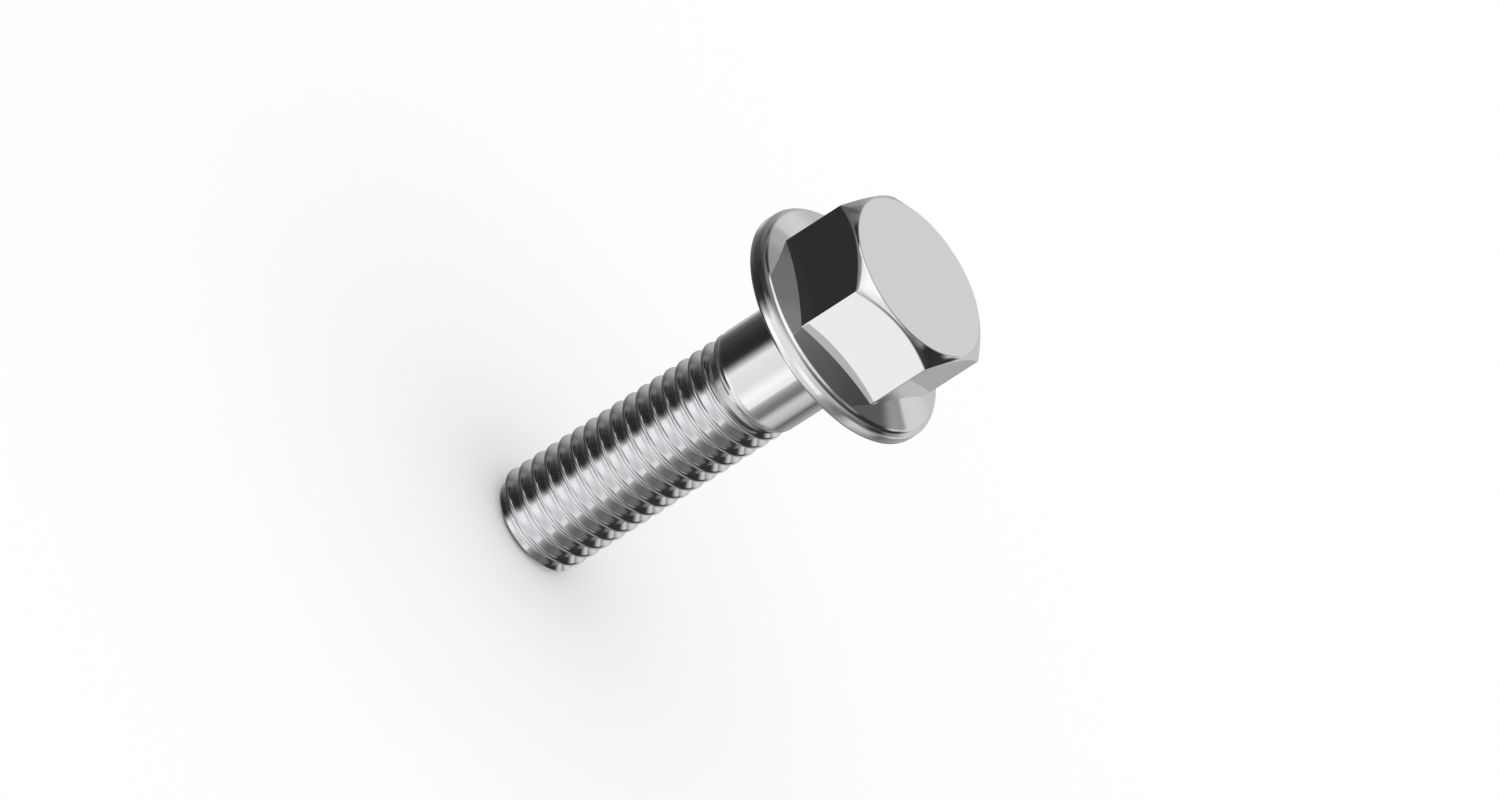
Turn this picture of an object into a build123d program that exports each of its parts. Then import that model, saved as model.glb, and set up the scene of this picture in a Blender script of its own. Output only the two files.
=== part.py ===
from build123d import *
import math
import os

# Hexagon flange bolt, cold headed with a rolled thread: one solid piece of steel.
# Millimetres. The origin is the centre of the flange's bearing face, where the bolt's length is
# measured from. +Z runs up through the head, and the threaded end points down.

# Thread, M10 x 1.5, right hand
thread_diameter = 10.0
thread_pitch = 1.5
thread_length = 26.0
thread_flank_angle = 30.0
thread_crest_clearance = 0.05
thread_run_out = 2.0

# The crest's flat, in proportion to the pitch as ISO metric threads have it. The flanks run down
# from it to a plain V.
crest_width_per_pitch = 0.125

# Shank and point
bolt_length = 35.0
point_diameter = 8.0
point_chamfer_angle = 45.0
under_head_bevel = 0.4

# Flange
flange_diameter = 22.3
flange_rim_height = 1.7
flange_slope = 15.0
rim_top_bevel = 0.45
rim_bottom_bevel = 0.35

# Hexagon head
head_height = 9.5
across_flats = 16.0
face_diameter = 15.4
head_chamfer_angle = 36.0

# Construction: the thread's surfaces are laid in lengths of a few turns, from inside the run-out's
# cone down past the tip. A cutter's cone reaches past the steel that it trims.
turns_per_length = 3
screw_end_depth = 0.5
cutter_margin = 3.0

# Places worked out from the sizes above
shank_radius = thread_diameter / 2
crest_radius = (thread_diameter - thread_crest_clearance) / 2
crest_width = crest_width_per_pitch * thread_pitch
flank_height = (thread_pitch - crest_width) / 2
root_radius = crest_radius - flank_height / math.tan(math.radians(thread_flank_angle))
flange_radius = flange_diameter / 2
face_radius = face_diameter / 2
point_radius = point_diameter / 2
tip_z = -bolt_length
thread_end_z = tip_z + thread_length
screw_end_z = thread_end_z - screw_end_depth
length_height = turns_per_length * thread_pitch
thread_lengths = math.ceil((screw_end_z - tip_z + thread_pitch) / length_height)
screw_start_z = screw_end_z - thread_lengths * length_height


def helix_edge(radius, start_z, turns):
    """A right-hand helical edge that starts above the X axis."""
    return Helix(
        pitch=thread_pitch,
        height=turns * thread_pitch,
        radius=radius,
        center=(0, 0, start_z),
    ).edge()


def ridge_edges(start_z, turns):
    """The ridge's edges from the bottom of one groove to the next: root, crest, crest, root."""
    return [
        helix_edge(root_radius, start_z, turns),
        helix_edge(crest_radius, start_z + flank_height, turns),
        helix_edge(crest_radius, start_z + flank_height + crest_width, turns),
        helix_edge(root_radius, start_z + thread_pitch, turns),
    ]


# Threaded blank: ruled strips between neighbouring edges make the lower flank, crest and upper
# flank. Each end is closed by a ramp, one turn of a spiral stair, and by the stair's upright step.
blank_faces = []
for length in range(thread_lengths):
    start_z = screw_start_z + length * length_height
    edges = ridge_edges(start_z, turns_per_length)
    for edge, next_edge in zip(edges, edges[1:]):
        blank_faces.append(Face.make_surface_from_curves(edge, next_edge))
for end_z in (screw_start_z, screw_end_z):
    axis_edge = Edge.make_line((0, 0, end_z), (0, 0, end_z + thread_pitch))
    ramp_edge = helix_edge(root_radius, end_z, 1)
    blank_faces.append(Face.make_surface_from_curves(axis_edge, ramp_edge))
    step_corners = [edge @ 0 for edge in ridge_edges(end_z, 1)]
    step = Wire.make_polygon([axis_edge @ 0, *step_corners, axis_edge @ 1], close=True)
    blank_faces.append(Face(step))
threaded_blank = Solid(Shell(blank_faces))

with BuildPart() as flange_bolt:
    # Point: the end is faced off square, and a cone takes the first turn of the thread down so
    # that a nut starts easily.
    add(threaded_blank)
    with BuildSketch(Plane.XZ):
        with BuildLine():
            cone_top_z = tip_z + cutter_margin * math.tan(math.radians(point_chamfer_angle))
            Polyline(
                (0, tip_z),
                (point_radius, tip_z),
                (point_radius + cutter_margin, cone_top_z),
                (point_radius + cutter_margin, screw_start_z - cutter_margin),
                (0, screw_start_z - cutter_margin),
                close=True,
            )
        make_face()
    revolve(axis=Axis.Z, mode=Mode.SUBTRACT)

    # Shank and flange in one turning. The cone below the shank fills the groove little by little,
    # which is the thread's run-out. The small roundings, at the rim and under the head where the
    # shank meets the flange, are single bevels.
    with BuildSketch(Plane.XZ):
        with BuildLine():
            slope = math.tan(math.radians(flange_slope))
            flange_peak_z = flange_rim_height + flange_radius * slope
            Polyline(
                (0, thread_end_z - thread_run_out),
                (root_radius, thread_end_z - thread_run_out),
                (shank_radius, thread_end_z),
                (shank_radius, -under_head_bevel),
                (shank_radius + under_head_bevel, 0),
                (flange_radius - rim_bottom_bevel, 0),
                (flange_radius, rim_bottom_bevel),
                (flange_radius, flange_rim_height - rim_top_bevel),
                (flange_radius - rim_top_bevel, flange_rim_height + rim_top_bevel * slope),
                (0, flange_peak_z),
                close=True,
            )
        make_face()
    revolve(axis=Axis.Z)

    # Hexagon, standing on the flange, with its corners chamfered by a cone down from the top face.
    with BuildSketch():
        RegularPolygon(radius=across_flats / 2, side_count=6, major_radius=False)
    extrude(amount=head_height)
    with BuildSketch(Plane.XZ):
        with BuildLine():
            cone_drop = cutter_margin * math.tan(math.radians(head_chamfer_angle))
            Polyline(
                (face_radius, head_height),
                (face_radius + cutter_margin, head_height),
                (face_radius + cutter_margin, head_height - cone_drop),
                close=True,
            )
        make_face()
    revolve(axis=Axis.Z, mode=Mode.SUBTRACT)

flange_bolt.part.label = "flange_bolt"

os.makedirs("parts", exist_ok=True)
export_step(flange_bolt.part, "parts/flange_bolt.step")

print("shank", bolt_length - thread_length, "thread turns", round(thread_length / thread_pitch, 2))
print("thread root diameter", round(2 * root_radius, 3))
print("flange_bolt volume", round(flange_bolt.part.volume, 1))
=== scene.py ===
# %% [markdown]
# # Flange bolt
# A hexagon flange bolt is forged cold from steel wire, its thread is rolled between hard dies, and
# the whole of it is polished and plated until it mirrors the room. It is one piece of steel, so it
# is one piece here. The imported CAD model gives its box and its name, and this file models the same
# bolt finely enough for a mirror finish, where every small kink in a surface would show.

# %% Load the frame
import math

import bmesh
import bpy
from mathutils import Matrix, Vector


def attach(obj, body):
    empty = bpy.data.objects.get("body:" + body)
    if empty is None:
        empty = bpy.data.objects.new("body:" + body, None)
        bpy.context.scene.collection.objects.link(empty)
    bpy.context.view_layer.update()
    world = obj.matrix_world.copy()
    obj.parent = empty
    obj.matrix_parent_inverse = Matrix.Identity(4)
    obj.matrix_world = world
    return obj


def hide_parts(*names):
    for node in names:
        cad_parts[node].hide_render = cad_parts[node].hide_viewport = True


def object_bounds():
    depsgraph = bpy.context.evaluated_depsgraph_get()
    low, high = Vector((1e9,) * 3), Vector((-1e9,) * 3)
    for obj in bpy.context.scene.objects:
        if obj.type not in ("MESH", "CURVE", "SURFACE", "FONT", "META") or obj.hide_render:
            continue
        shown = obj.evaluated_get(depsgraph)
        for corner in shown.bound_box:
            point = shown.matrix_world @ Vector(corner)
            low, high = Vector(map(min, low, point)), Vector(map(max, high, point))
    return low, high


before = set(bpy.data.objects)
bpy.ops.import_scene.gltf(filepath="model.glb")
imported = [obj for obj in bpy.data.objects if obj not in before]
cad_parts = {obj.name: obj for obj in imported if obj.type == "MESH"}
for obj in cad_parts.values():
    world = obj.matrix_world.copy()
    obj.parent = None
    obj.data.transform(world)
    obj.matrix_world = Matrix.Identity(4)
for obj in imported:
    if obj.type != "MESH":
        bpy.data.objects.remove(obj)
cad_low, cad_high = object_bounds()
MM = 0.001
print("CAD box in mm:", [round(v / MM, 2) for v in cad_low], [round(v / MM, 2) for v in cad_high])

# %% [markdown]
# ## Sizes
# The bolt is an M10 with the coarse pitch of 1.5 mm. Heights are measured from the flange's
# bearing face, with the head above it and the thread below it, as in the CAD model. The outer
# sizes are read from the CAD box, so they are the same by construction. The rest are what such a
# bolt has.

# %% Sizes in metres
TIP_Z = cad_low.z
HEAD_TOP_Z = cad_high.z
FLANGE_RADIUS = cad_high.x
SHANK_RADIUS = 5.0 * MM
THREAD_LENGTH = 26.0 * MM
THREAD_TOP_Z = TIP_Z + THREAD_LENGTH
PITCH = 1.5 * MM
CREST_RADIUS = 4.975 * MM
POINT_RADIUS = 4.0 * MM
RIM_HEIGHT = 1.7 * MM
FLANGE_SLOPE = math.radians(15)
ACROSS_FLATS = 16.0 * MM
FACE_RADIUS = 7.7 * MM
HEAD_CHAMFER = math.radians(36)
print("bolt length", round(-TIP_Z / MM, 2), "mm, head", round(HEAD_TOP_Z / MM, 2), "mm")

# %% [markdown]
# ## Turned shapes
# A lathe makes round parts by following a profile. By hand in Blender the same is done with a
# circle: extrude its edge along the axis, scale the new ring to the next radius, and go on up the
# profile. The Spin tool would do as well, but rings keep every edge square to the axis, which is
# what a cleanly turned face looks like in a mirror finish.

# %% A helper for turned shapes
AROUND = 192
TOUCHING = 0.01 * MM


def deselect_all():
    """Leaves nothing selected and no object in edit mode."""
    if bpy.context.object and bpy.context.object.mode != "OBJECT":
        bpy.ops.object.mode_set(mode="OBJECT")
    bpy.ops.object.select_all(action="DESELECT")


def select_edges(obj, wanted):
    """In edit mode, selects the edges for which wanted(middle, edge) is true, and counts them."""
    mesh = bmesh.from_edit_mesh(obj.data)
    bpy.ops.mesh.select_all(action="DESELECT")
    bpy.ops.mesh.select_mode(type="EDGE")
    count = 0
    for edge in mesh.edges:
        middle = (edge.verts[0].co + edge.verts[1].co) / 2
        if wanted(middle, edge):
            edge.select_set(True)
            count += 1
    bmesh.update_edit_mesh(obj.data)
    return count


def on_ring(radius, height):
    """A test for the edges of the ring that has this radius at this height."""
    def test(middle, edge):
        return all(
            abs(corner.co.z - height) < TOUCHING
            and abs(corner.co.xy.length - radius) < TOUCHING
            for corner in edge.verts
        )
    return test


def turned(name, profile):
    """A closed round shape from a list of (radius, height) stops, listed from the bottom up."""
    deselect_all()
    radius, height = profile[0]
    bpy.ops.mesh.primitive_circle_add(
        vertices=AROUND, radius=radius, location=(0, 0, height), fill_type="NGON"
    )
    obj = bpy.context.object
    obj.name = name
    bpy.ops.object.transform_apply(location=True, rotation=True, scale=True)
    bpy.ops.object.mode_set(mode="EDIT")
    for next_radius, next_height in profile[1:]:
        select_edges(obj, on_ring(radius, height))
        bpy.ops.mesh.extrude_edges_move(
            TRANSFORM_OT_translate={"value": (0, 0, next_height - height)}
        )
        scale = next_radius / radius
        bpy.ops.transform.resize(
            value=(scale, scale, 1), center_override=(0, 0, next_height)
        )
        radius, height = next_radius, next_height
    bpy.ops.mesh.edge_face_add()
    bpy.ops.mesh.select_all(action="SELECT")
    bpy.ops.mesh.normals_make_consistent(inside=False)
    bpy.ops.object.mode_set(mode="OBJECT")
    return obj


def round_ring(obj, radius, height, width, segments):
    """Rounds the edge that runs round at this radius and height."""
    deselect_all()
    obj.select_set(True)
    bpy.context.view_layer.objects.active = obj
    bpy.ops.object.mode_set(mode="EDIT")
    count = select_edges(obj, on_ring(radius, height))
    bpy.ops.mesh.bevel(offset=width, segments=segments, affect="EDGES", clamp_overlap=False)
    bpy.ops.object.mode_set(mode="OBJECT")
    print(obj.name, "rounded", count, "edges at radius", round(radius / MM, 2), "mm")


def combine(base, tool, operation):
    """Applies one exact boolean to base and deletes the tool."""
    deselect_all()
    base.select_set(True)
    bpy.context.view_layer.objects.active = base
    modifier = base.modifiers.new("combine", "BOOLEAN")
    modifier.operation = operation
    modifier.solver = "EXACT"
    modifier.object = tool
    bpy.ops.object.modifier_apply(modifier=modifier.name)
    bpy.data.objects.remove(tool)
    print(base.name, operation.lower(), "->", len(base.data.polygons), "faces")


print("helpers ready: round shapes have", AROUND, "sides")

# %% [markdown]
# ## Flange and shank
# The upsetting die makes the flange and the shank under it in one blow. The flange's top falls
# away as a cone of fifteen degrees, its rim is rounded by the flow of the steel, and a small
# radius leads from the shank into the bearing face. Below the shank the blank narrows where the
# thread runs out.

# %% Turn the flange and shank
RUN_OUT_RADIUS = 3.6 * MM
RUN_OUT_DEPTH = 3.0 * MM
RIM_TOP_ROUNDING = 0.6 * MM
RIM_FOOT_ROUNDING = 0.4 * MM
UNDER_HEAD_ROUNDING = 0.4 * MM
SHANK_END_ROUNDING = 0.3 * MM
COLLAR_RADIUS = 6.0 * MM
COLLAR_Z = RIM_HEIGHT + (FLANGE_RADIUS - COLLAR_RADIUS) * math.tan(FLANGE_SLOPE)
bolt = turned("flange_bolt_steel", [
    (RUN_OUT_RADIUS, THREAD_TOP_Z - RUN_OUT_DEPTH),
    (SHANK_RADIUS, THREAD_TOP_Z),
    (SHANK_RADIUS, 0.0),
    (FLANGE_RADIUS, 0.0),
    (FLANGE_RADIUS, RIM_HEIGHT),
    (COLLAR_RADIUS, COLLAR_Z),
])
round_ring(bolt, FLANGE_RADIUS, RIM_HEIGHT, RIM_TOP_ROUNDING, segments=6)
round_ring(bolt, FLANGE_RADIUS, 0.0, RIM_FOOT_ROUNDING, segments=5)
round_ring(bolt, SHANK_RADIUS, 0.0, UNDER_HEAD_ROUNDING, segments=4)
round_ring(bolt, SHANK_RADIUS, THREAD_TOP_Z, SHANK_END_ROUNDING, segments=3)

# %% [markdown]
# ## Hexagon
# The six flats are trimmed by a die, and the corners are chamfered by a cone on the top. A cone
# cuts each flat along a curve, the low arch that every hexagon head has. Modelling those arches by
# hand would be guesswork, so the head is what the metal is: a six-sided prism, and only that part
# of it that is also inside a turned cone.

# %% Cut the hexagon
CHAMFER_REACH = 2.6 * MM
FOOT_OVERLAP = 0.4 * MM
CONE_OVERLAP = 1.0 * MM
HALF_SIDE = math.radians(30)
PRISM_FOOT_Z = RIM_HEIGHT - FOOT_OVERLAP
deselect_all()
bpy.ops.mesh.primitive_cylinder_add(
    vertices=6,
    radius=ACROSS_FLATS / 2 / math.cos(HALF_SIDE),
    depth=HEAD_TOP_Z - PRISM_FOOT_Z,
    location=(0, 0, (HEAD_TOP_Z + PRISM_FOOT_Z) / 2),
    rotation=(0, 0, HALF_SIDE),
)
hexagon = bpy.context.object
hexagon.name = "hexagon"
bpy.ops.object.transform_apply(location=True, rotation=True, scale=True)
cone = turned("head_cone", [
    (FACE_RADIUS + CHAMFER_REACH, PRISM_FOOT_Z - CONE_OVERLAP),
    (FACE_RADIUS + CHAMFER_REACH, HEAD_TOP_Z - CHAMFER_REACH * math.tan(HEAD_CHAMFER)),
    (FACE_RADIUS, HEAD_TOP_Z),
])
# Turned by half a facet, so that no edge of the cone ends in a corner of the hexagon.
cone.rotation_euler.z = math.pi / AROUND
bpy.ops.object.transform_apply(location=True, rotation=True, scale=True)
combine(hexagon, cone, "INTERSECT")
corner_azimuths = sorted(
    round(math.degrees(math.atan2(v.co.y, v.co.x)))
    for v in hexagon.data.vertices
    if abs(v.co.z - PRISM_FOOT_Z) < TOUCHING
)
print("hexagon corners at azimuths", corner_azimuths)

# %% Break the hexagon's edges
EDGE_BREAK = 0.09 * MM
LEAST_CORNER = math.radians(12)
SPECK = 0.002 * MM
deselect_all()
hexagon.select_set(True)
bpy.context.view_layer.objects.active = hexagon
bpy.ops.object.mode_set(mode="EDIT")
edge_count = select_edges(
    hexagon,
    lambda middle, edge: len(edge.link_faces) == 2
    and edge.calc_face_angle(0) > LEAST_CORNER
    and middle.z > PRISM_FOOT_Z + TOUCHING,
)
bpy.ops.mesh.bevel(offset=EDGE_BREAK, segments=2, affect="EDGES", clamp_overlap=True)
bpy.ops.mesh.select_all(action="SELECT")
bpy.ops.mesh.remove_doubles(threshold=SPECK)
bpy.ops.object.mode_set(mode="OBJECT")
print("hexagon edges broken:", edge_count)
combine(bolt, hexagon, "UNION")

# %% [markdown]
# ## Thread
# Rolling dies press the thread into the blank: a helical ridge with flanks at sixty degrees to each
# other, a narrow crest and a rounded root. One pitch of its side view is enough to know. It starts
# here as a straight upright line, pushed in and out to the ridge's outline, and repeated by an
# Array up the whole thread. The Screw modifier then turns that outline once round the axis while it
# climbs by one pitch, so that every turn runs into the next one. All rows of points follow the
# helix, which keeps the long highlights on the flanks free of kinks.

# %% Push a straight line into one pitch of the thread's outline
ROWS_PER_PITCH = 32
ROW_HEIGHT = PITCH / ROWS_PER_PITCH
SCREW_START_Z = TIP_Z - 2 * PITCH
FLANK = math.radians(30)
CREST_HALF = PITCH / 16
ROOT_ARC = 0.1443 * PITCH
ROOT_ARC_START = PITCH / 2 - ROOT_ARC * math.cos(FLANK)
EDGE_BLEND = 0.14 * MM


def thread_radius(offset):
    """The thread's radius at a distance along the axis from the middle of its crest."""
    flank_radius = CREST_RADIUS - (offset - CREST_HALF) / math.tan(FLANK)
    nearness = max(EDGE_BLEND - abs(flank_radius - CREST_RADIUS), 0) / EDGE_BLEND
    radius = min(flank_radius, CREST_RADIUS) - nearness**2 * EDGE_BLEND / 4
    if offset > ROOT_ARC_START:
        arc_centre = CREST_RADIUS - (ROOT_ARC_START - CREST_HALF) / math.tan(FLANK)
        arc_centre += ROOT_ARC * math.sin(FLANK)
        radius = arc_centre - math.sqrt(ROOT_ARC**2 - (PITCH / 2 - offset) ** 2)
    return radius


deselect_all()
bpy.ops.mesh.primitive_plane_add(
    size=PITCH,
    location=(CREST_RADIUS + PITCH / 2, 0, SCREW_START_Z + PITCH / 2),
    rotation=(math.pi / 2, 0, 0),
)
thread = bpy.context.object
thread.name = "thread"
bpy.ops.object.transform_apply(location=True, rotation=True, scale=True)
bpy.ops.object.mode_set(mode="EDIT")
select_edges(thread, lambda middle, edge: middle.x > CREST_RADIUS + PITCH - TOUCHING)
bpy.ops.mesh.delete(type="VERT")
bpy.ops.mesh.select_all(action="SELECT")
bpy.ops.mesh.subdivide(number_cuts=ROWS_PER_PITCH - 1)
bpy.ops.mesh.select_mode(type="VERT")
for row in range(ROWS_PER_PITCH + 1):
    row_z = SCREW_START_Z + ROW_HEIGHT * row
    bpy.ops.mesh.select_all(action="DESELECT")
    outline = bmesh.from_edit_mesh(thread.data)
    for point in outline.verts:
        point.select_set(abs(point.co.z - row_z) < ROW_HEIGHT / 4)
    bmesh.update_edit_mesh(thread.data)
    scale = thread_radius(abs(row_z - SCREW_START_Z - PITCH / 2)) / CREST_RADIUS
    bpy.ops.transform.resize(value=(scale, 1, 1), center_override=(0, 0, row_z))
bpy.ops.object.mode_set(mode="OBJECT")
radii = [point.co.x / MM for point in thread.data.vertices]
print("outline:", len(radii), "points, radii", round(min(radii), 3), "to", round(max(radii), 3))

# %% Repeat the outline and turn it up the screw
STEPS_ROUND = 88
SEAM = 0.001 * MM
SCREW_OVERLAP = 0.9 * MM
SCREW_END_Z = THREAD_TOP_Z + SCREW_OVERLAP
screw_pitches = math.ceil((SCREW_END_Z - SCREW_START_Z) / PITCH)
repeat = thread.modifiers.new("repeat", "ARRAY")
repeat.count = screw_pitches
repeat.use_relative_offset = False
repeat.use_constant_offset = True
repeat.constant_offset_displace = (0, 0, PITCH)
repeat.use_merge_vertices = True
repeat.merge_threshold = SEAM
bpy.ops.object.modifier_apply(modifier=repeat.name)
screw = thread.modifiers.new("screw", "SCREW")
screw.axis = "Z"
screw.angle = 2 * math.pi
screw.screw_offset = PITCH
screw.iterations = 1
screw.steps = STEPS_ROUND
screw.render_steps = STEPS_ROUND
screw.use_merge_vertices = False
bpy.ops.object.modifier_apply(modifier=screw.name)
bpy.ops.object.mode_set(mode="EDIT")
bpy.ops.mesh.select_all(action="SELECT")
bpy.ops.mesh.remove_doubles(threshold=SEAM)
print("screw:", STEPS_ROUND, "steps round,", screw_pitches, "pitches high")

# %% [markdown]
# The screw is still open at both ends. Each end is closed like a spiral stair: a ramp runs in from
# the root to the axis, and an upright step closes what is left. Neither is seen, since one end is
# cut off and the other lies inside the shank, but the shape has to be closed to be combined.

# %% Close the screw's ends
HELIX_EDGE_LENGTH = 0.15 * MM
middle_z = SCREW_START_Z + (screw_pitches + 1) * PITCH / 2
for is_end in (lambda z: z < middle_z, lambda z: z > middle_z):
    select_edges(
        thread,
        lambda middle, edge: len(edge.link_faces) == 1
        and is_end(middle.z)
        and (edge.verts[0].co.xy - edge.verts[1].co.xy).length > HELIX_EDGE_LENGTH,
    )
    bpy.ops.mesh.extrude_edges_move()
    bpy.ops.transform.resize(value=(0, 0, 1), center_override=(0, 0, 0))
    select_edges(
        thread, lambda middle, edge: len(edge.link_faces) == 1 and is_end(middle.z)
    )
    bpy.ops.mesh.edge_face_add()
bpy.ops.mesh.select_all(action="SELECT")
bpy.ops.mesh.normals_make_consistent(inside=False)
bpy.ops.object.mode_set(mode="OBJECT")
print("thread blank:", len(thread.data.polygons), "faces over", screw_pitches, "pitches")

# %% [markdown]
# The end of the blank is faced off and chamfered before the thread is rolled, so the first turn
# rises out of the chamfer instead of starting with a burr. The same turned shape does that here:
# only the thread inside it is kept.

# %% Point the end and join the thread to the shank
CHAMFER_ROOM = 0.4 * MM
SHANK_OVERLAP = 0.6 * MM
POINT_ROUNDING = 0.12 * MM
point_blank = turned("point_blank", [
    (POINT_RADIUS, TIP_Z),
    (CREST_RADIUS + CHAMFER_ROOM, TIP_Z + CREST_RADIUS + CHAMFER_ROOM - POINT_RADIUS),
    (CREST_RADIUS + CHAMFER_ROOM, THREAD_TOP_Z + SHANK_OVERLAP),
])
round_ring(point_blank, POINT_RADIUS, TIP_Z, POINT_ROUNDING, segments=3)
combine(thread, point_blank, "INTERSECT")
combine(bolt, thread, "UNION")

# %% Clean the joined mesh and set its shading
SHARP = math.radians(32)
DUST = 0.0005 * MM
deselect_all()
bolt.select_set(True)
bpy.context.view_layer.objects.active = bolt
bpy.ops.object.mode_set(mode="EDIT")
bpy.ops.mesh.select_all(action="SELECT")
bpy.ops.mesh.remove_doubles(threshold=DUST)
bpy.ops.mesh.normals_make_consistent(inside=False)
bpy.ops.object.mode_set(mode="OBJECT")
bpy.ops.object.shade_smooth_by_angle(angle=SHARP)
weighted = bolt.modifiers.new("weighted", "WEIGHTED_NORMAL")
weighted.mode = "FACE_AREA"
weighted.weight = 50
weighted.keep_sharp = True
bpy.ops.object.modifier_apply(modifier=weighted.name)
check = bmesh.new()
check.from_mesh(bolt.data)
open_edges = sum(len(edge.link_faces) != 2 for edge in check.edges)
triangles = sum(len(face.verts) - 2 for face in check.faces)
volume = check.calc_volume()
check.free()
print("bolt:", triangles, "triangles,", open_edges, "open edges,", round(volume / MM**3), "mm3")

# %% [markdown]
# ## Plated steel
# The finish is bright nickel-chrome plating over polished steel. Plating a few thousandths of a
# millimetre thick copies what is under it, so the surface is a mirror with a very slight swell in
# it, finer polishing lines than the eye can part, and a little less gloss along the edges, which
# rub first when such bolts are tumbled and handled. Pointiness tells the shader how far a place
# stands out, so it finds those edges without a painted mask. Colour comes from what the plating
# mirrors. Only roughness and bump vary over it.

# %% Helpers for colours and nodes
def hex_to_linear(code):
    """An sRGB hex colour as linear red, green, blue and alpha."""
    parts = [int(code[i:i + 2], 16) / 255 for i in (1, 3, 5)]
    return (*[c / 12.92 if c <= 0.04045 else ((c + 0.055) / 1.055) ** 2.4 for c in parts], 1.0)


def add_node(tree, kind, settings=None, values=None, links=None):
    """Adds a node with its settings, socket values and incoming links, and returns it."""
    node = tree.nodes.new(kind)
    for key, value in (settings or {}).items():
        setattr(node, key, value)
    for key, value in (values or {}).items():
        node.inputs[key].default_value = value
    for key, source in (links or {}).items():
        tree.links.new(source, node.inputs[key])
    return node


PLATING_COLOUR = "#E9E9EB"
print("plating", PLATING_COLOUR, "in linear:", [round(c, 3) for c in hex_to_linear(PLATING_COLOUR)])

# %% [markdown]
# The swell is a slow noise, three millimetres from crest to crest. Where it is high the plating has
# been handled more, and there the roughness rises a little. The polishing lines are a fine noise.
# Real ones are finer still, so these are drawn as coarse as they need to be to show in a close
# view. The noise runs from 0 to 1, and a level place has a pointiness of 0.5.

# %% Plated steel
SWELL_WIDTH = 3.0 * MM
SWELL_HEIGHT = 0.002 * MM
SWELL_STRENGTH = 0.15
POLISH_WIDTH = 0.06 * MM
POLISH_HEIGHT = 0.0004 * MM
POLISH_STRENGTH = 0.02
BRIGHT_ROUGHNESS = 0.035
BRIGHT_UNDER = 0.35
HANDLED_ROUGHNESS = 0.075
HANDLED_OVER = 0.7
EDGE_ROUGHNESS = 0.07
EDGE_STARTS = 0.52
EDGE_FULL = 0.62
plating = bpy.data.materials.new("bright_chrome_plated_steel")
plating.use_nodes = True
tree = plating.node_tree
tree.nodes.clear()
where = add_node(tree, "ShaderNodeTexCoord")
swell = add_node(
    tree, "ShaderNodeTexNoise",
    values={"Scale": 1 / SWELL_WIDTH, "Detail": 1.0},
    links={"Vector": where.outputs["Object"]},
)
polish = add_node(
    tree, "ShaderNodeTexNoise",
    values={"Scale": 1 / POLISH_WIDTH, "Detail": 2.0},
    links={"Vector": where.outputs["Object"]},
)
handled = add_node(
    tree, "ShaderNodeMapRange",
    values={
        "From Min": BRIGHT_UNDER,
        "From Max": HANDLED_OVER,
        "To Min": BRIGHT_ROUGHNESS,
        "To Max": HANDLED_ROUGHNESS,
    },
    links={"Value": swell.outputs["Fac"]},
)
form = add_node(tree, "ShaderNodeNewGeometry")
edge_wear = add_node(
    tree, "ShaderNodeMapRange",
    values={
        "From Min": EDGE_STARTS, "From Max": EDGE_FULL, "To Min": 0.0, "To Max": EDGE_ROUGHNESS,
    },
    links={"Value": form.outputs["Pointiness"]},
)
roughness = add_node(
    tree, "ShaderNodeMath", {"operation": "ADD"},
    links={0: handled.outputs["Result"], 1: edge_wear.outputs["Result"]},
)
swell_bump = add_node(
    tree, "ShaderNodeBump",
    values={"Strength": SWELL_STRENGTH, "Distance": SWELL_HEIGHT},
    links={"Height": swell.outputs["Fac"]},
)
polish_bump = add_node(
    tree, "ShaderNodeBump",
    values={"Strength": POLISH_STRENGTH, "Distance": POLISH_HEIGHT},
    links={"Height": polish.outputs["Fac"], "Normal": swell_bump.outputs["Normal"]},
)
shader = add_node(
    tree, "ShaderNodeBsdfPrincipled",
    values={"Base Color": hex_to_linear(PLATING_COLOUR), "Metallic": 1.0},
    links={"Roughness": roughness.outputs[0], "Normal": polish_bump.outputs["Normal"]},
)
add_node(tree, "ShaderNodeOutputMaterial", links={"Surface": shader.outputs["BSDF"]})
bolt.data.materials.clear()
bolt.data.materials.append(plating)
print("material", plating.name)

# %% [markdown]
# ## Where the piece belongs
# The finished mesh stands for the CAD solid and rides on the part's only body.

# %% Tie the piece to the frame
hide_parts("flange_bolt")
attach(bolt, "root")
print(bolt.name, "replaces flange_bolt and rides on root")

# %% [markdown]
# ## Camera
# The bolt is seen from above its head, with its axis laid over to the right. The view has no
# perspective to speak of, so the camera stands far away with a very long lens. Its three
# directions are worked out from the bolt's axis, not set by eye: where the camera stands round
# the bolt, how high it looks from, and how far the axis leans in the view.

# %% Place the camera
CAMERA_AZIMUTH = math.radians(-18.5)
CAMERA_ELEVATION = math.radians(28.0)
AXIS_LEAN = math.radians(32.7)
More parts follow.
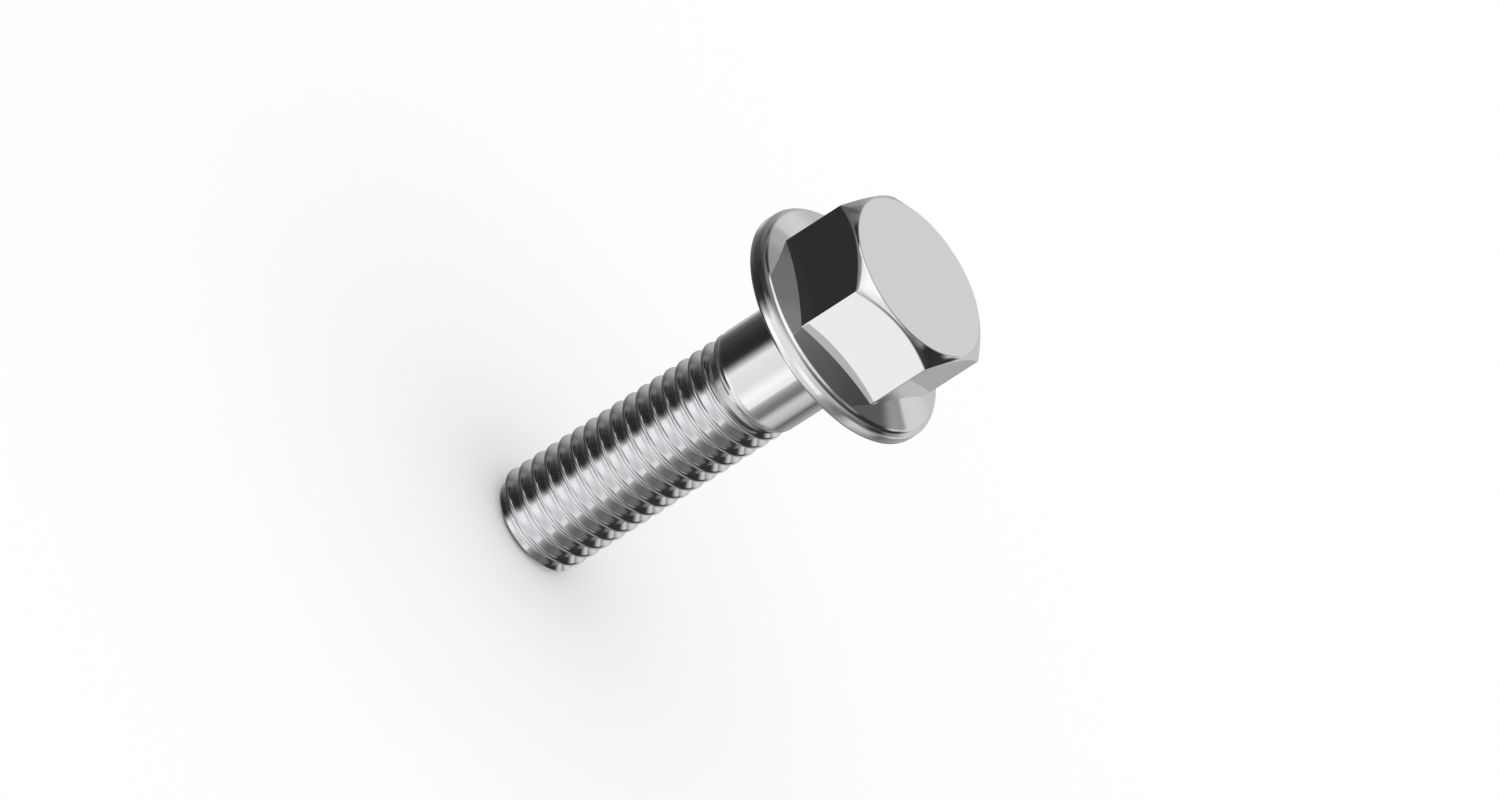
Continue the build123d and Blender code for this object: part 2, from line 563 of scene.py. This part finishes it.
# Blender takes the lens and the sensor in millimetres.
LENS = 800.0
SENSOR = 36.0
FRAME_WIDTH = 127.5 * MM
AIM_RIGHT = -7.3 * MM
AIM_UP = -5.9 * MM
across = Vector((math.cos(CAMERA_AZIMUTH), math.sin(CAMERA_AZIMUTH), 0))
level = Vector((math.sin(CAMERA_AZIMUTH), -math.cos(CAMERA_AZIMUTH), 0))
back = level * math.cos(CAMERA_ELEVATION) + Vector((0, 0, math.sin(CAMERA_ELEVATION)))
upright = back.cross(across)
right = upright * math.cos(AXIS_LEAN) + across * math.sin(AXIS_LEAN)
up = upright * math.sin(AXIS_LEAN) - across * math.cos(AXIS_LEAN)
distance = FRAME_WIDTH * LENS / SENSOR
place = right * AIM_RIGHT + up * AIM_UP + back * distance
camera_data = bpy.data.cameras.new("camera")
camera_data.lens = LENS
camera_data.sensor_width = SENSOR
camera = bpy.data.objects.new("camera", camera_data)
bpy.context.scene.collection.objects.link(camera)
camera.matrix_world = Matrix.Translation(place) @ Matrix((right, up, back)).transposed().to_4x4()
bpy.context.scene.camera = camera
bpy.context.scene.view_settings.view_transform = "Standard"
print("camera stands", round(distance, 2), "m away")

# %% [markdown]
# ## Studio
# A mirror shows its surroundings, so lighting plated steel is mostly a matter of what stands round
# it. A studio rings such a part with white panels and dark flags. Here they are painted on the
# world, for mirrored light only, as rings of greys one above the other. Bearings are counted from
# the right hand of someone who faces the bolt at the camera's place, in degrees, and the tones run
# from 0 to 255. The background and the plain soft light on the floor stay white.

# %% Tones of the panels and flags
REFLECTED = 0.82


def grey(tone):
    """A panel's light, so that the plating mirrors it as this grey from 0 to 255."""
    light = hex_to_linear("#" + f"{tone:02X}" * 3)[0] / REFLECTED
    return (light, light, light, 1.0)


# Seen by edges that face down.
UNDER = [
    (-180, 70), (-90, 105), (-30, 130), (30, 130), (55, 190), (70, 230), (90, 240), (104, 225),
    (115, 130), (140, 45), (180, 60),
]
# Seen by the thread's flanks, where the light bounces twice.
FLANKS = [
    (-180, 47), (-130, 110), (-90, 150), (-30, 120), (7, 190), (24, 120), (43, 154), (54, 205),
    (70, 212), (80, 214), (92, 226), (104, 244), (112, 255), (132, 255), (143, 160), (153, 52),
    (180, 47),
]
# Seen by all upright faces: the flats, the shank, the crests and the rim.
BELOW = [
    (-180, 47), (-150, 70), (-130, 110), (-112, 185), (-98, 150), (-90, 120), (-82, 150),
    (-67, 160), (-50, 145), (-28, 99), (-12, 180), (7, 201), (14, 180), (23, 118), (32, 118),
    (43, 154), (49, 190), (51, 236), (57, 236), (62, 243), (70, 250), (78, 242), (90, 222),
    (114, 224), (128, 230), (137, 168), (144, 100), (150, 50), (160, 40), (180, 47),
]
# These two are seen by rounded edges and by the sides of the thread.
GRAZING = [
    (-180, 50), (-150, 75), (-125, 130), (-100, 170), (-80, 190), (-50, 200), (-32, 200),
    (-22, 140), (-8, 112), (10, 114), (22, 96), (34, 118), (53, 200), (90, 225), (132, 235),
    (142, 160), (154, 55), (180, 45),
]
HORIZON = [
    (-180, 50), (-165, 75), (-150, 100), (-134, 125), (-120, 150), (-110, 175), (-90, 190),
    (-67, 190), (-46, 200), (-36, 150), (-24, 120), (-17, 54), (-5, 54), (5, 105), (20, 110),
    (53, 188), (90, 225), (130, 210), (148, 60), (180, 45),
]
# Seen by the flat top of the head and the corners' chamfers.
LOW = [
    (-180, 75), (-150, 90), (-132, 85), (-126, 112), (-118, 155), (-105, 206), (-75, 206),
    (-58, 204), (-50, 80), (-44, 48), (-27, 45), (-10, 80), (20, 150), (53, 200), (90, 230),
    (130, 180), (150, 65), (180, 60),
]
# Seen by the outermost parts of the thread's flanks.
MIDDLE = [
    (-180, 100), (-150, 96), (-134, 112), (-126, 120), (-115, 152), (-98, 190), (-88, 140),
    (-72, 142), (-62, 190), (-50, 200), (-45, 130), (-40, 50), (-27, 42), (0, 60), (37, 74),
    (60, 120), (90, 220), (120, 190), (150, 100), (180, 100),
]
# Seen by the flange's cone, directly or by way of the flats.
HIGH = [
    (-180, 118), (-168, 120), (-155, 60), (-145, 37), (-134, 60), (-118, 110), (-105, 165),
    (-95, 140), (-86, 90), (-70, 88), (-58, 75), (-46, 48), (-27, 42), (0, 60), (35, 76),
    (53, 98), (69, 112), (84, 150), (98, 190), (118, 170), (150, 120), (180, 118),
]
STEEP = [
    (-180, 130), (-168, 138), (-156, 240), (-140, 252), (-120, 180), (-90, 150), (-60, 120),
    (-32, 144), (-10, 110), (20, 90), (42, 90), (53, 106), (63, 124), (75, 124), (90, 150),
    (110, 160), (150, 125), (180, 130),
]
UPPER = [
    (-180, 235), (-153, 252), (-120, 235), (-90, 180), (-60, 130), (-25, 104), (0, 150),
    (50, 140), (90, 190), (150, 245), (180, 235),
]
OVERHEAD = [
    (-180, 250), (-150, 250), (-90, 225), (-20, 200), (14, 215), (90, 232), (140, 252),
    (180, 250),
]

print("a panel of tone 200 shines at", round(grey(200)[0], 2))

# %% [markdown]
# The shader needs two numbers for each direction: the bearing, from the angle between its two level
# parts, and the elevation, from its upright part. A ramp turns the bearing into a grey, and each
# ring fades into the next between two elevations, as the edges of real panels do in a reflection.

# %% Find each direction's bearing and elevation
world = bpy.data.worlds.new("studio")
bpy.context.scene.world = world
world.use_nodes = True
tree = world.node_tree
tree.nodes.clear()
ray = add_node(tree, "ShaderNodeTexCoord")
to_right = add_node(
    tree, "ShaderNodeVectorMath", {"operation": "DOT_PRODUCT"},
    {1: across}, {0: ray.outputs["Generated"]},
)
to_camera = add_node(
    tree, "ShaderNodeVectorMath", {"operation": "DOT_PRODUCT"},
    {1: level}, {0: ray.outputs["Generated"]},
)
height = add_node(tree, "ShaderNodeSeparateXYZ", links={0: ray.outputs["Generated"]})
bearing = add_node(
    tree, "ShaderNodeMath", {"operation": "ARCTAN2"},
    links={0: to_camera.outputs["Value"], 1: to_right.outputs["Value"]},
)
round_the_bolt = add_node(
    tree, "ShaderNodeMapRange", values={"From Min": -math.pi, "From Max": math.pi},
    links={"Value": bearing.outputs[0]},
)
elevation = add_node(
    tree, "ShaderNodeMath", {"operation": "ARCSINE"}, links={0: height.outputs["Z"]}
)
print("nodes for bearing and elevation:", len(tree.nodes))

# %% Paint the rings on the world
def ring(stops):
    """A ramp of greys round the bolt, from a list of (bearing in degrees, tone)."""
    ramp = add_node(tree, "ShaderNodeValToRGB", links={"Fac": round_the_bolt.outputs["Result"]})
    elements = ramp.color_ramp.elements
    while len(elements) < len(stops):
        elements.new(0.5)
    for element, (degrees, tone) in zip(elements, stops):
        element.position = (degrees + 180) / 360
    # The greys follow once every stop has its place.
    for element, (degrees, tone) in zip(elements, stops):
        element.color = grey(tone)
    return ramp.outputs["Color"]


def blend(lower, upper, start, end):
    """Goes softly from one ring to the next between two elevations in degrees."""
    share = add_node(
        tree, "ShaderNodeMapRange", {"interpolation_type": "SMOOTHSTEP"},
        {"From Min": math.radians(start), "From Max": math.radians(end)},
        {"Value": elevation.outputs[0]},
    )
    # Of a Mix node's sockets, the two colours are 6 and 7, and the mixed colour comes out of 2.
    mixed = add_node(
        tree, "ShaderNodeMix", {"data_type": "RGBA"},
        links={"Factor": share.outputs["Result"], 6: lower, 7: upper},
    )
    return mixed.outputs[2]


# Each ring above the first, with the elevations in degrees at which it starts and is all there is.
RINGS_ABOVE = [
    (FLANKS, -50, -38),
    (BELOW, -30, -28.8),
    (GRAZING, -24, -17),
    (HORIZON, -11, -4),
    (LOW, 12, 22),
    (MIDDLE, 29.2, 31.5),
    (HIGH, 35, 41),
    (STEEP, 52, 57),
    (UPPER, 60, 65),
    (OVERHEAD, 68, 74),
]
panels = ring(UNDER)
for stops, start, end in RINGS_ABOVE:
    panels = blend(panels, ring(stops), start, end)
kind = add_node(tree, "ShaderNodeLightPath")
mirrored = add_node(tree, "ShaderNodeBackground", links={"Color": panels})
plain = add_node(tree, "ShaderNodeBackground", values={"Color": (1, 1, 1, 1)})
choice = add_node(
    tree, "ShaderNodeMixShader",
    links={0: kind.outputs["Is Glossy Ray"], 1: plain.outputs[0], 2: mirrored.outputs[0]},
)
add_node(tree, "ShaderNodeOutputWorld", links={"Surface": choice.outputs[0]})
print("rings painted, from below to overhead:", 1 + len(RINGS_ABOVE))

# %% [markdown]
# The floor is a plain pale sheet at the height of the bolt's point. It keeps the bolt's soft
# shadow, and the plating doesn't mirror it, as if the part stood on glass far above it.

# %% Lay the floor
FLOOR_SIZE = 12.0
deselect_all()
bpy.ops.mesh.primitive_plane_add(size=FLOOR_SIZE, location=(0, 0, TIP_Z))
floor = bpy.context.object
floor.name = "studio_floor"
floor.visible_glossy = False
paper = bpy.data.materials.new("matt_white_paper")
paper.use_nodes = True
paper_shader = paper.node_tree.nodes["Principled BSDF"]
paper_shader.inputs["Base Color"].default_value = hex_to_linear("#FFFFFF")
paper_shader.inputs["Roughness"].default_value = 1.0
paper_shader.inputs["Specular IOR Level"].default_value = 0.0
floor.data.materials.append(paper)
print("floor of", FLOOR_SIZE, "m at", round(TIP_Z / MM, 2), "mm")
